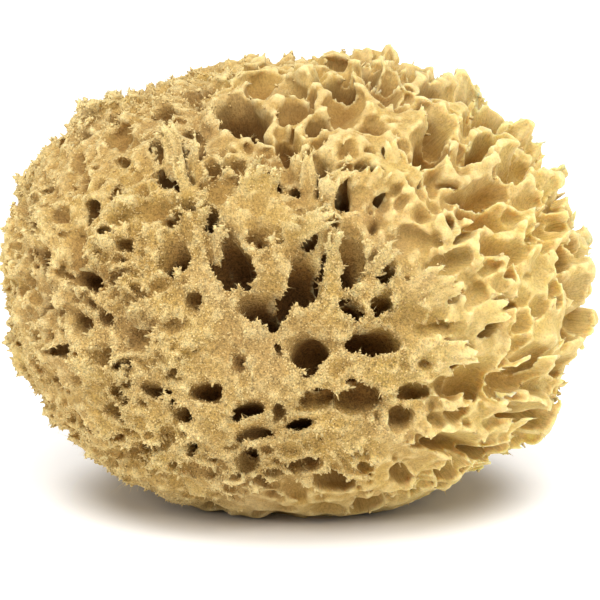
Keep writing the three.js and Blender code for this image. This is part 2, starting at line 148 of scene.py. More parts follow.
# Front pores as they are seen: across and up from the middle, wide, tall, turn in degrees, deep.
FRONT_PORES = [
    # the big open channels of the middle
    (-18.3, 8.8, 12, 13.5, 0, 22),
    (-8, -3, 13, 9.5, 0, 26),
    (4.3, -15, 11.5, 10.8, 0, 16),
    (1.5, 5.3, 11, 12.5, 0, 22),
    (14.3, 9.5, 7.5, 12.5, 0, 14),
    (23.3, 8, 7.5, 7, 0, 18),
    (13.5, -2.3, 8.5, 7.5, 0, 16),
    (22, -0.3, 7.5, 6, 30, 18),
    (20.5, -13.8, 13.5, 9.5, 0, 11),
    (28.5, -10, 11, 11, 0, 5),
    (-33.3, 9.5, 7.5, 9.5, 0, 16),
    (-27.5, -4.3, 4, 3.8, 0, 8),
    (-5, -16, 2.3, 2.5, 0, 6),
    (-13.5, 1, 1.8, 2.3, 0, 5),
    (-25.3, -17.8, 4.5, 2.5, 0, 3),
    (-15.3, -20.5, 3.3, 4.8, 0, 6),
    # the lower face
    (-24.5, -24.5, 6.5, 6, 30, 11),
    (15.3, -25.3, 4, 2.3, 0, 8),
    (-37.5, -26.3, 8, 4.5, -25, 12),
    (-29.8, -32.3, 5.5, 4, -15, 12),
    (-28.5, -41.8, 3, 4, 0, 9),
    (-15, -29.8, 8.5, 6, 0, 12),
    (-11.8, -38.5, 10, 5.3, 0, 16),
    (-5.8, -31.5, 3.3, 6, 0, 5),
    (1.3, -36.8, 9, 3.2, 8, 12),
    (6, -29.5, 11, 7, 10, 7),
    (16.5, -30, 12, 8, 0, 6),
    (-6, -51, 5.5, 2.8, 0, 6),
    (8.8, -52, 10, 6.5, 0, 8),
    (26.8, -49.3, 6.5, 5.5, 0, 8),
    (16.3, -43.3, 3.5, 3, 0, 5),
    (-31.8, -47.5, 3.5, 2.5, 0, 4),
    (-36.8, -42.5, 4.5, 3, 0, 4),
    (-31.5, -22.8, 5, 3, 0, 5),
    # the left side
    (-37.5, -13.3, 3, 4.5, 0, 10),
    (-43, -14, 9, 6, 0, 6),
    (-33.8, -10.3, 8, 4.5, 0, 3),
    (-46.8, -21.3, 5.5, 2.5, 0, 6),
    (-62.5, -16.8, 8.5, 4, -10, 7),
    (-51, -8.5, 4, 5, 0, 6),
    (-58.3, -24.8, 5.5, 4, 0, 4),
    (-50, 13.3, 3.8, 3.5, 0, 9),
    (-55.8, 19.3, 5, 6.5, 0, 7),
    (-49.3, 2.5, 3, 2.5, 0, 8),
    (-45.8, 11.3, 3.5, 4, 0, 6),
    (-59.5, 13.8, 3.5, 4, 0, 5),
    (-48.3, 23, 5.5, 3.5, 0, 6),
    (-47.5, 40, 6, 5, 0, 5),
    (-57.5, 33.8, 5, 5, 0, 5),
    (-44.5, 33.5, 4.7, 3.5, 0, 6),
    # the top left, with the widest channel
    (-16, 44.8, 14, 11.5, 0, 20),
    (-31.5, 38.5, 3.8, 2.2, 0, 6),
    (-30.5, 22.3, 6, 3.5, 20, 12),
    (-33.5, 29, 8.5, 5, 25, 7),
    (-20.3, 25, 6, 7.5, 0, 4),
    (-15.3, 30.5, 3.5, 2.5, 0, 9),
    (-9.5, 29.3, 2, 5, 0, 6),
    (-35.8, 16.8, 3, 2, 0, 6),
    (-7.5, 14.8, 8, 5.5, 0, 14),
    (-0.8, 24.3, 4, 2.3, 0, 8),
    # the top
    (8, 53, 11, 5, 0, 10),
    (5.5, 29.8, 8, 6.5, 0, 16),
    (17.5, 30.5, 3.5, 4.7, 0, 10),
    (11.5, 24.3, 3.5, 5.5, 0, 12),
    (28.8, 49.8, 3, 3, 0, 5),
    (27.5, 36, 5.5, 3, 0, 5),
    (28, 29.8, 2, 2, 0, 5),
    # the right side, where the walls between the channels stand out as blades
    (38.8, 17.3, 3.5, 3, 0, 7),
    (43, 13.3, 9, 3, 8, 6),
    (51.8, 30.5, 3, 3, 0, 5),
    (40.8, 27.5, 6.5, 2.5, 0, 5),
    (55.5, 19.3, 6.5, 4.5, 0, 6),
    (31, 13.5, 11, 7.5, 10, 6),
    (38, 5, 9.5, 8.5, 20, 6),
    (46, 7.5, 2.5, 3, 0, 4),
    (48.8, 1.5, 6, 3.5, 25, 6),
    (45.3, -4.3, 6, 6.5, 0, 7),
    (54.3, 2, 4, 6.5, 0, 9),
    (62.5, 11.8, 5.5, 4, 0, 6),
    (61.3, 2.5, 5, 2.5, 20, 6),
    (33, -2.3, 5.5, 3, 30, 9),
    (29.3, 1.5, 2, 2, 0, 5),
    (39.3, -10.5, 10, 3.2, 5, 7),
    (33.5, -11.8, 6, 4, 0, 6),
    (55, -5.8, 9, 3.5, 15, 8),
    (47.3, -20.5, 13, 11, 20, 14),
    (63.5, -15.5, 11, 5.5, 5, 12),
    (60, -23, 11, 8, 0, 10),
    (55.5, -29.3, 6.5, 4, -20, 8),
    (41, -33.3, 6.5, 5, 0, 8),
    (30, -27.5, 8.5, 4.5, 10, 10),
    (27.5, -34, 6, 6, 0, 8),
    (33.3, -40, 5.5, 5, 0, 9),
    (48.3, -37.3, 3.5, 3.5, 0, 4),
]

# Tufts: across, up, width, length, lean in degrees from straight up.
TUFTS = [
    (-13, 22.5, 5.5, 10, 5),
    (-7, 22.5, 3.6, 9, -3),
    (-5, 17.5, 5, 7, -120),
    (6.5, 22, 5.5, 7, -20),
    (9.5, 26, 2.6, 8, -45),
    (17, 25, 5, 8, -30),
    (-2, 14, 5, 13, -70),
    (9.5, 5, 3.6, 11, 10),
    (20, 5, 3, 8, -50),
    (31, 0, 3.4, 9, -50),
    (34.5, -2, 4.5, 8, -60),
    (36, -16, 5, 11, -80),
    (45.5, -10, 4.5, 9, -75),
    (-33, 33, 5, 8, 30),
    (-27, 31, 3.4, 8, 10),
    (-28, 17, 5, 8, -60),
]


def outline_radius(angle):
    """Radius of the front outline, through the listed radii on a smooth closed curve."""
    turn = angle / (2 * math.pi) * len(OUTLINE)
    k = np.floor(turn).astype(int)
    t = turn - k
    a, b, c, d = (OUTLINE[(k + step) % len(OUTLINE)] for step in (-1, 0, 1, 2))
    return b + 0.5 * t * (c - a + t * (2 * a - 5 * b + 4 * c - d + t * (3 * (b - c) + d - a)))


def surface_radius(x, y, z):
    """Distance from the middle to the outer surface along a unit direction."""
    radius = outline_radius(np.arctan2(z, x))
    total = (np.hypot(x, z) / radius) ** ROUNDNESS + (np.abs(y) / (DEPTH / 2)) ** ROUNDNESS
    return np.maximum(total, 1e-6) ** (-1 / ROUNDNESS)


def on_surface(direction):
    """Where a direction from the middle meets the outer surface."""
    return middle + direction * surface_radius(*direction)


def unit(vector):
    """The vector's direction."""
    return vector / np.linalg.norm(vector)


def smoothstep(value, low, high):
    """From 0 at the low value smoothly to 1 at the high one."""
    t = np.clip((value - low) / (high - low), 0, 1)
    return t * t * (3 - 2 * t)


def normal_at(direction):
    """Outward normal of the surface, from points close by."""
    aside = np.array((1, 0, 0)) if abs(direction[2]) > 0.9 else seen_up
    side = unit(np.cross(direction, aside))
    other = np.cross(direction, side)
    step = 0.03
    first, second = (
        on_surface(unit(direction + way * step)) - on_surface(unit(direction - way * step))
        for way in (side, other)
    )
    normal = unit(np.cross(first, second))
    return normal if normal @ direction > 0 else -normal


def seen_at(across, up):
    """The surface direction that is seen at a place across and up from the middle."""
    ray = unit(np.array((across, 0, 0)) + up * seen_up + middle - eye)
    distance = VIEW_DISTANCE - DEPTH + DEPTH * 1.2 * np.arange(401) / 400
    points = eye - middle + distance[:, None] * ray
    reach = np.linalg.norm(points, axis=1)
    gap = reach - surface_radius(*(points / reach[:, None]).T)
    inside = np.flatnonzero(gap <= 0)
    hit = inside[0] if len(inside) else int(np.argmin(gap))
    return unit(points[hit])


def edges_as_seen(direction, wide, tall, turn):
    """Half edges on the surface that are seen as wide and tall."""
    normal = normal_at(direction)
    facing = max(normal @ to_eye, 0.45)
    right, up = (way - to_eye * (normal @ way) / facing for way in (np.array((1.0, 0, 0)), seen_up))
    angle = math.radians(turn)
    return (
        (right * math.cos(angle) + up * math.sin(angle)) * wide / 2,
        (up * math.cos(angle) - right * math.sin(angle)) * tall / 2,
    )


# Widths of a channel along its depth, as shares of its mouth. A channel ends in a round floor, a flute is
# widest at its mouth, and one between blades stays wide farther in.
PROFILE_DEPTH = (-0.6, -0.1, 0.0, 0.12, 0.35, 0.6, 0.85, 1.0)
CHANNEL = (1.5, 1.12, 1.05, 1.0, 0.97, 0.9, 0.62, 0.0)
FLUTE = (1.7, 1.3, 1.22, 1.1, 0.86, 0.66, 0.42, 0.0)
BLADED = (1.6, 1.36, 1.3, 1.22, 1.08, 0.92, 0.64, 0.0)

DROOP = 1.7  # how much the deep channels run down on their way in
MORE_TUFTS = 14
TUFTS_APART = 5
TUFT_GAP = 19  # depth of the gap behind a tuft
GAP_WIDTH = 1.35  # and its size, as shares of the tuft's
GAP_HEIGHT = 0.95
hollows = []  # (direction, axis outwards, half wide, half tall, deep, profile)
for across, up, wide, tall, turn, deep in FRONT_PORES:
    direction = seen_at(across, up)
    normal = normal_at(direction)
    edges = edges_as_seen(direction, wide, tall, turn)
    # the deep channels run inwards and down, under a dent that leads into them, and the upper ones go on
    # farther
    sunk = smoothstep(deep, 6, 14)
    axis = unit(normal + direction + DROOP * sunk * seen_up)
    deep *= 1 + 0.35 * sunk + 0.6 * smoothstep(up, 5, 25) * smoothstep(deep, 4, 8)
    hollows.append((direction, axis, *edges, deep, CHANNEL))
    if sunk > 0.5:
        dent = unit(direction + seen_up * 0.3 * tall / 60)
        hollows.append((dent, axis, edges[0] * 1.05, edges[1] * 0.95, 0.4 * tall, FLUTE))

# More small tufts stand between the ones that are seen clearly. A tuft stands in front of a gap.
dice = np.random.default_rng(23)
for i in range(MORE_TUFTS):
    across, up = dice.uniform(-30, 42), dice.uniform(6, 36)
    if min(math.hypot(across - tuft[0], up - tuft[1]) for tuft in TUFTS) > TUFTS_APART:
        TUFTS.append((across, up, dice.uniform(2.5, 5), dice.uniform(5, 8), dice.uniform(-50, 30)))
for across, up, width, length, lean in TUFTS:
    angle = math.radians(lean)
    tip = length * 0.45
    direction = seen_at(across - math.sin(angle) * tip, up + math.cos(angle) * tip)
    axis = unit(normal_at(direction) + direction + 1.2 * seen_up)
    edges = edges_as_seen(direction, width * GAP_WIDTH, length * GAP_HEIGHT, lean)
    hollows.append((direction, axis, *edges, TUFT_GAP, CHANNEL))

# The other channels, spread evenly by the golden angle and each moved a little, by the same chances as in
# the solid.
SPREAD = 800
UPWARDS = np.array((0, 0, 1.0))  # how far the channels lean up on their way out
JITTER = 0.09
SPACING = 4  # least distance from the middle of a mouth to the room of another
REACH = 4  # the room that each of these mouths takes, all round its middle
SHALLOW = 5
DEEP = 12
NARROW = 4.3
WIDE = 5.6
chance_state = 20417


def chance():
    """The next number from 0 to 1 of the row that the solid is made with."""
    global chance_state
    chance_state = (chance_state * 1664525 + 1013904223) % 2**32
    return chance_state / 2**32


def evenly(i, count):
    """The i-th of a number of directions that are spread evenly all round by the golden angle."""
    height = 1 - 2 * (i + 0.5) / count
    ring = math.sqrt(1 - height * height)
    angle = i * math.pi * (3 - math.sqrt(5))
    return np.array((math.cos(angle) * ring, math.sin(angle) * ring, height))


def lands_at(direction):
    """1 on the flat lands of the front, and 0 elsewhere."""
    return smoothstep(direction @ np.array(LANDS), 0.82, 0.93)


dice = np.random.default_rng(11)
mouths = [on_surface(hollow[0]) for hollow in hollows]
reaches = [(np.linalg.norm(hollow[2]) + np.linalg.norm(hollow[3])) / 2 for hollow in hollows]
for i in range(SPREAD):
    moved = np.array([chance() - 0.5, chance() - 0.5, chance() - 0.5])
    direction = unit(evenly(i, SPREAD) + moved * JITTER)
    mouth = on_surface(direction)
    gaps = np.linalg.norm(np.array(mouths) - mouth, axis=1) - np.array(reaches)
    if gaps.min() < SPACING:
        continue
    deep = SHALLOW + (DEEP - SHALLOW) * chance()
    lands = lands_at(direction)
    normal = normal_at(direction)
    right = smoothstep(direction[0], 0.3, 0.7)
    # on the right the flutes are drawn out away from the front, so that the walls between them are blades
    drawn = direction - to_eye * (direction @ to_eye)
    side = unit(np.cross(normal, unit(dice.normal(size=3))))
    side = unit(side * (1.2 - right) + 1.6 * right * (drawn - normal * (normal @ drawn)))
    other = np.cross(normal, side)
    knobs = smoothstep(-direction[0], 0.15, 0.6)
    closed = 1 - smoothstep(mouth[2], 3, 18)
    radius = dice.uniform(NARROW, WIDE) * (1 - 0.55 * lands) * (1 - 0.28 * knobs) * (1 - 0.35 * closed)
    long = dice.uniform(1.0, 1.35) * (1 + 0.35 * right)
    deep = (deep * (1 + 0.45 * right)) * (1 - lands) * (1 - 0.6 * closed) + 1.5 * lands
    sharp = 0.45 + 0.55 * right
    profile = tuple((1 - sharp) * a + sharp * b for a, b in zip(FLUTE, BLADED))
    axis = unit(normal + direction + UPWARDS)
    hollows.append((direction, axis, side * radius * long, other * radius / long, deep, profile))
    mouths.append(mouth)
    reaches.append(REACH)

# Between them the felt is opened by finer flutes, all but on the lands, so that sharp ridges are left.
FILL = 5200
FILL_JITTER = 0.012
LEFT_OUT = 0.93  # share of the flutes that the lands go without
BARE_BASE = 5  # height below which there are none
FLUTE_NARROW = 1.5
FLUTE_WIDE = 3.2
mouths = np.array(mouths)
reaches = np.array([(np.linalg.norm(hollow[2]) + np.linalg.norm(hollow[3])) / 2 for hollow in hollows])
for i in range(FILL):
    direction = unit(evenly(i, FILL) + dice.normal(size=3) * FILL_JITTER)
    mouth = on_surface(direction)
    gap = (np.linalg.norm(mouths - mouth, axis=1) - reaches).min()
    lands = lands_at(direction)
    knobs = smoothstep(-direction[0], 0.15, 0.6)
    if gap < 0.9 - 0.3 * knobs or dice.uniform() < LEFT_OUT * lands or mouth[2] < BARE_BASE:
        continue
    right = smoothstep(direction[0], 0.3, 0.7)
    radius = min(gap + 0.5 + 0.6 * right, dice.uniform(FLUTE_NARROW, FLUTE_WIDE) + right)
    radius = radius * (1 - 0.5 * lands) * (1 - 0.2 * knobs)
    normal = normal_at(direction)
    side = unit(np.cross(normal, unit(dice.normal(size=3))))
    other = np.cross(normal, side)
    long = dice.uniform(1.0, 1.4)
    deep = radius * dice.uniform(1.4, 3.0) * (1 - 0.5 * lands) * (0.4 + 0.6 * smoothstep(mouth[2], 3, 18))
    sharp = 0.3 + 0.5 * right
    profile = tuple((1 - sharp) * a + sharp * b for a, b in zip(FLUTE, BLADED))
    axis = unit(normal + direction + UPWARDS)
    hollows.append((direction, axis, side * radius * long, other * radius / long, deep, profile))
    mouths = np.vstack((mouths, mouth))
    reaches = np.append(reaches, radius)

# The felt fills a grid of small cubes, where each holds how far it lies outside the felt.
FINE = 0.55
cube = FINE
FAR = 50.0  # farther from the felt than it matters to know
low = np.array((-78.0, -66.0, -2.0))
high = np.array((78.0, 66.0, 118.0))
counts = np.ceil((high - low) / cube).astype(int)
axes = [low[i] + cube * np.arange(counts[i], dtype=np.float32) for i in range(3)]


def bumps(length, seed):
    """A smooth random field over the grid, from -1 to 1 or so, whose bumps are about as long as given."""
    knots = [int((high[i] - low[i]) / length) + 5 for i in range(3)]
    field = np.random.default_rng(seed).uniform(-2.2, 2.2, knots).astype(np.float32)
    for i in range(3):
        place = (axes[i] - low[i]) / length + 1
        k = np.floor(place).astype(int)
        t = (place - k).astype(np.float32)
        weights = np.zeros((counts[i], knots[i]), np.float32)
        rows = np.arange(counts[i])
        weights[rows, k - 1] = (1 - t) ** 3 / 6
        weights[rows, k] = (3 * t**3 - 6 * t**2 + 4) / 6
        weights[rows, k + 1] = (-3 * t**3 + 3 * t**2 + 3 * t + 1) / 6
        weights[rows, k + 2] = t**3 / 6
        field = np.moveaxis(np.tensordot(weights, np.moveaxis(field, i, 0), axes=(1, 0)), 0, i)
    return np.ascontiguousarray(field)


x, y, z = np.meshgrid(*axes, indexing="ij", sparse=True)
# Nothing grows quite straight, so the channels are carved through a space that is bent a little.
BEND = 1.9
KINK = 1.15
bent = [
    np.broadcast_to(place, counts) + BEND * bumps(9, seed) + KINK * bumps(4.5, seed + 10)
    for place, seed in zip((x, y, z), (1, 2, 3))
]

across = x - middle[0]
along = y - middle[1]
above = z - middle[2]
span = np.sqrt(across**2 + along**2 + above**2) + 1e-6
radius = surface_radius(across / span, along / span, above / span).astype(np.float32)
outside = span - radius


OUTWARDS = 4  # how far a channel is carved past its mouth
WIDEST = 1.6
MARGIN = 3  # round the space that a channel can reach


def block_between(lowest, highest):
    """The part of the grid that holds all between two corners."""
    first = np.clip(((lowest - low) / cube).astype(int), 0, counts)
    last = np.clip(((highest - low) / cube).astype(int) + 1, 0, counts)
    return tuple(slice(a, b) for a, b in zip(first, last))


carved = np.full(counts, FAR, np.float32)
for direction, axis, wide, tall, deep, profile in hollows:
    mouth = on_surface(direction)
    into = np.linalg.inv(np.array((wide, tall, -axis)).T)
    narrow = min(np.linalg.norm(wide), np.linalg.norm(tall))
    room = WIDEST * max(np.linalg.norm(wide), np.linalg.norm(tall)) + MARGIN
    ends = np.array((mouth + axis * OUTWARDS, mouth - axis * deep))
    block = block_between(ends.min(axis=0) - room, ends.max(axis=0) + room)
    offset = [place[block] - mouth[i] for i, place in enumerate(bent)]
    a, b, depth = (sum(row[i] * offset[i] for i in range(3)) for row in into)
    width = np.interp(depth / deep, PROFILE_DEPTH, profile)
    value = (np.sqrt(a * a + b * b) - width) * narrow
    np.minimum(carved[block], value, out=carved[block])

# The peaks between the channels stand out most on the right, and least on the lands of the front.
facing = (across * LANDS[0] + along * LANDS[1] + above * LANDS[2]) / span
lands = smoothstep(facing, 0.82, 0.93)
bladed = smoothstep(across / span, 0.3, 0.75)
PEAK = 2.8
BLADE = 1.4  # and how much higher the blades stand
LAND = 0.9  # the unevenness of the lands
peak = (PEAK + BLADE * bladed) * smoothstep(z, 1, 16) * (1 - lands) + LAND * lands
skin = outside + 1.0 - peak * bumps(6, 21) - (1 - lands) * bumps(3.2, 23) - 0.5 * lands * bumps(3.5, 22)
felt = np.maximum(skin, -carved)
# The felt is crumbly near its outer surface and most of all at the rims, and smooth deep in the channels.
ROUGH_DOWN = 5
KNOTTED_DOWN = 8
RIM_WIDTH = 3.5
rough = np.exp(-np.clip(-outside, 0, 30) / ROUGH_DOWN)
crumb = bumps(2.2, 31)
knobbly = smoothstep(-across / span, 0.1, 0.55)
rim = np.exp(-(skin**2 + carved**2) / RIM_WIDTH)
rough *= (1 - 0.45 * bladed) * smoothstep(z, 0, 9)
# crumbs, creases and torn rims
felt += (0.15 + (0.75 + 0.4 * knobbly) * rough) * crumb - 0.1
felt += (0.45 + 0.45 * knobbly) * rough * np.abs(bumps(1.3, 32))
felt += (0.9 - 0.5 * bladed) * rim * smoothstep(z, 2, 10) * bumps(1.2, 34)
# the upper half of the front is knotted, with lumps on its walls
knotted = smoothstep(above / span, 0.15, 0.5) * (1 - bladed) * (1 - 0.6 * knobbly)
felt += 1.15 * knotted * np.exp(-np.clip(-outside, 0, 30) / KNOTTED_DOWN) * bumps(3.4, 33)

# A tuft is a flat fan of strands that leans out from the surface and is frayed at its end.
GROWN_IN = 1.6  # how softly its foot runs into the felt
FLATNESS = 4.5  # a fan's width for its half thickness
LEANING_OUT = 0.8
TUFT_SIZE = 1.2  # its felt is this much larger than the core that the solid has
FOOT_SUNK = 1.3
for place_across, place_up, broad, tall, lean in TUFTS:
    direction = seen_at(place_across, place_up)
    normal = normal_at(direction)
    angle = math.radians(lean)
    way = -math.sin(angle) * np.array((1, 0, 0)) + math.cos(angle) * seen_up
    way = unit(way + normal * (LEANING_OUT - way @ normal))
    side = unit(np.cross(way, normal))
    thick = np.cross(way, side)
    broad, tall = broad * TUFT_SIZE, tall * TUFT_SIZE
    foot = on_surface(direction) - way * tall / 3 - normal * FOOT_SUNK
    room = tall + broad
    block = block_between(foot - room, foot + room)
    offset = [place[block] - foot[i] for i, place in enumerate(bent)]
    a, b, rise = (sum(v[i] * offset[i] for i in range(3)) for v in (side, thick, way))
    share = np.clip(rise / tall, -0.2, 1)
    a = a / (0.75 + 0.35 * share)
    taper = 1 - 0.25 * share
    value = np.sqrt((a / (broad / 2)) ** 2 + (b / (broad / FLATNESS)) ** 2) - taper
    strand = np.sin(2.6 * a + place_across) + 0.6 * np.sin(5.1 * a + place_up)
    frayed = rise - tall + 0.9 * strand + 0.8 * crumb[block]
    value = np.maximum(value * broad / FLATNESS, np.maximum(frayed, -rise - 0.2 * tall))
    value += 0.2 * crumb[block] + 0.12 * strand
    share = np.clip(0.5 + (felt[block] - value) / (2 * GROWN_IN), 0, 1)
    felt[block] = felt[block] * (1 - share) + value * share - GROWN_IN * share * (1 - share)

felt = np.maximum(felt, -z)  # trimmed flat at the base


def skin_of(field):
    """Points in millimetres and quads of the surface where a field is 0, and the body of each point."""
    grid = openvdb.FloatGrid(background=FAR)
    grid.copyFromArray(field.astype(np.float32))
    points, quads = grid.convertToQuads(isovalue=0.0)
    label = np.arange(len(points))
    while True:
        lowest = label[quads].min(axis=1)
        new = label.copy()
        np.minimum.at(new, quads.ravel(), np.repeat(lowest, 4))
        new = new[new]
        if (new == label).all():
            return points * cube + low, quads, label
        label = new


def picked(points, quads, kept):
    """Only the points that are kept, and the quads between them."""
    index = np.cumsum(kept) - 1
    return points[kept], index[quads[kept[quads[:, 0]]]]


def keys_of(points):
    """A whole number for each point that says where it lies."""
    steps = np.round((points - low) / cube * 64).astype(np.int64)
    return (steps[:, 0] * 2**20 + steps[:, 1]) * 2**20 + steps[:, 2]


# Crumbs that hang free and bubbles inside are left out. What remains is made in two pieces, the front and
# the back, that meet in a seam round the sides, because one mesh with all the detail would be too heavy.
points, quads, label = skin_of(felt)
bodies, sizes = np.unique(label, return_counts=True)
whole = points[label == bodies[np.argmax(sizes)]]
whole_keys = keys_of(whole)
felt_low, felt_high = whole.min(axis=0), whole.max(axis=0)


def mesh_of(name, points, faces):
    """A mesh from points in millimetres and faces that all have as many corners."""
    mesh = bpy.data.meshes.new(name)
    corners = faces.shape[1]
    mesh.vertices.add(len(points))
    mesh.vertices.foreach_set("co", (points * MM).astype(np.float32).ravel())
    mesh.loops.add(faces.size)
    mesh.loops.foreach_set("vertex_index", faces.astype(np.int32).ravel())
    mesh.polygons.add(len(faces))
    mesh.polygons.foreach_set("loop_start", np.arange(0, faces.size, corners, dtype=np.int32))
    mesh.update(calc_edges=True)
    mesh.validate()
    piece = bpy.data.objects.new(name, mesh)
    bpy.context.collection.objects.link(piece)
    return piece


def only(piece):
    """Selects a piece alone."""
    bpy.ops.object.select_all(action="DESELECT")
    piece.select_set(True)
    bpy.context.view_layer.objects.active = piece


# The solid's own box is the size of the real sponge, and the felt is brought to it.
box_low, box_high = (np.array(corner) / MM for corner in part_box("sponge"))
FACE_LIMIT = 195000  # triangles in each half
SEAM_LAP = 0.2  # how far each half reaches past the seam
SPECK = 60  # points of the smallest bit that is kept where the seam cuts one off
SEAM_BACK = 6  # how far the seam lies behind the middle
SEAM_WAVE = 2.5
seam = along - SEAM_BACK + SEAM_WAVE * bumps(9, 41)
halves = []
for name, cut in (("sponge_front", seam), ("sponge_back", -seam)):
    points, quads, label = skin_of(np.maximum(felt, cut - SEAM_LAP))
    bodies, sizes = np.unique(label[np.isin(keys_of(points), whole_keys)], return_counts=True)
    points, quads = picked(points, quads, np.isin(label, bodies[sizes > SPECK]))
    points = (points - felt_low) / (felt_high - felt_low) * (box_high - box_low) + box_low
    half = mesh_of(name, points, quads)
    only(half)
    bpy.ops.object.modifier_add(type="DECIMATE")
    half.modifiers[-1].ratio = min(1, FACE_LIMIT / (2 * len(quads)))
    bpy.ops.object.modifier_apply(modifier=half.modifiers[-1].name)
    bpy.ops.object.shade_smooth()
    halves.append(half)


# How deep each point lies below the outer surface, and how far it stands out from its neighbours, drive
# the colour: painted shade down in the channels and a painted highlight on the crests.
def coordinates(piece):
    """The points of a piece in millimetres."""
    coords = np.empty(len(piece.data.vertices) * 3, np.float32)
    piece.data.vertices.foreach_get("co", coords)
    return coords.reshape(-1, 3) / MM


def depth_below(points):
    """How deep points lie below the outer surface."""
    place = points - middle
    span = np.linalg.norm(place, axis=1)
    return surface_radius(*(place / span[:, None]).T) - span


def give(piece, name, values):
    """Lets the material of a piece read a value at each of its points."""
    attribute = piece.data.attributes.new(name, "FLOAT", "POINT")
    attribute.data.foreach_set("value", np.asarray(values, np.float32))


def fuzz_at(points):
    """How much the felt is roughed up: most on the lands, less on the knobs, least on the rest."""
    radial = points - middle
    radial /= np.linalg.norm(radial, axis=1)[:, None]
    front = radial @ np.array(LANDS) - 0.35 * np.clip(radial[:, 0], 0, 1)
    fuzz = smoothstep(front, 0.55, 0.95) * (1 - 0.6 * smoothstep(radial[:, 2], 0.15, 0.4))
    low_down = smoothstep(points[:, 2], 4, 26)
    knobbly = smoothstep(-radial[:, 0], 0.1, 0.5)
    return np.clip(0.1 + 0.32 * knobbly + fuzz * low_down, 0, 1)


def spread_over(values, edges, count):
    """Each point's mean over its neighbours."""
    total = np.zeros((count, values.shape[1]))
    counted = np.zeros(count)
    for one, other in (edges.T, edges.T[::-1]):
        for i in range(values.shape[1]):
            total[:, i] += np.bincount(one, values[other, i], count)
        counted += np.bincount(one, minlength=count)
    return total / counted[:, None]


felt_points = []  # (points, normals, way along the ridge, crest, depth) of each half
for half in halves:
    points = coordinates(half)
    count = len(points)
    normals = np.empty(count * 3, np.float32)
    half.data.vertices.foreach_get("normal", normals)
    normals = normals.reshape(-1, 3)
    edges = np.empty(len(half.data.edges) * 2, np.int32)
    half.data.edges.foreach_get("vertices", edges)
    edges = edges.reshape(-1, 2)
    around = spread_over(points, edges, count)
    crest = ((points - around) * normals).sum(axis=1)
    eased = spread_over(crest[:, None], edges, count)[:, 0]
    depth = depth_below(points)
    give(half, "depth_mm", depth)
    give(half, "fuzz", fuzz_at(points))
    give(half, "crest", 0.5 * crest + 0.5 * eased)
    top_neighbour = np.arange(count)
    for one, other in (edges.T, edges.T[::-1]):
        # of a point's neighbours, the one that stands out most comes last and stays
        order = np.argsort(crest[other], kind="stable")
        top_neighbour[one[order]] = other[order]
    felt_points.append((points, normals, points[top_neighbour] - points, crest, depth))

# Dry sponge fibre: matt and straw-coloured, with a painted highlight that makes its crests and rims paler,
# honey to brown down in the channels, partly by its own tone and partly by painted shade, and with a
# painted glow that lightens the deep parts of the thin right side. It is speckled with pinholes of painted
# shade and paler crumbs, and combed by fine fibres that run outwards.
felt_fibre = bpy.data.materials.new("felt_fibre")
felt_fibre.use_nodes = True
nodes, links = felt_fibre.node_tree.nodes, felt_fibre.node_tree.links
shader = nodes["Principled BSDF"]
shader.inputs["Roughness"].default_value = 0.92
shader.inputs["Specular IOR Level"].default_value = 0.2
shader.inputs["Subsurface Radius"].default_value = (1.0, 0.72, 0.38)
shader.inputs["Subsurface Scale"].default_value = 0.003


def add(kind, **settings):
    """A new node in the material at hand."""
    node = nodes.new("ShaderNode" + kind)
    for name, value in settings.items():
        setattr(node, name, value)
    return node


def plug(value, socket):
    """Links what another node puts out, or sets a plain value."""
    if isinstance(value, bpy.types.NodeSocket):
        links.new(value, socket)
    else:
        socket.default_value = value


def feed(node, **inputs):
    """Plugs values into a node's inputs by their names."""
    for name, value in inputs.items():
        plug(value, node.inputs[name.replace("_", " ")])
    return node


def ramp_of(fac, *stops):
    """Colours along a value, given as pairs of place and colour."""
    node = add("ValToRGB")
    ends = node.color_ramp.elements
    ends[0].position, ends[0].color = stops[0]
    ends[1].position, ends[1].color = stops[-1]
    for position, color in stops[1:-1]:
        ends.new(position).color = color
    links.new(fac, node.inputs["Fac"])
    return node.outputs["Color"]


def mapped(value, low, high, to_low=0.0, to_high=1.0):
    """A value brought from one range to another and held within it."""
    node = feed(add("MapRange"), Value=value, From_Min=low, From_Max=high, To_Min=to_low, To_Max=to_high)
    return node.outputs["Result"]


def noise(vector, scale, detail=2.0, roughness=0.5):
    """A cloudy value between 0 and 1."""
    node = feed(add("TexNoise"), Vector=vector, Scale=scale, Detail=detail, Roughness=roughness)
    return node.outputs["Fac"]


def mix(kind, fac, one, other):
    """One colour with another laid over it."""
    node = add("Mix", data_type="RGBA", blend_type=kind)
    for socket, value in ((0, fac), (6, one), (7, other)):
        plug(value, node.inputs[socket])
    return node.outputs[2]


def math_of(operation, one, other):
    """Two values put together by the given operation."""
    node = add("Math", operation=operation)
    for socket, value in enumerate((one, other)):
        plug(value, node.inputs[socket])
    return node.outputs["Value"]


def grey(value):
    """A shade without hue, which makes a colour darker or lighter when the two are multiplied."""
    return (value, value, value, 1)


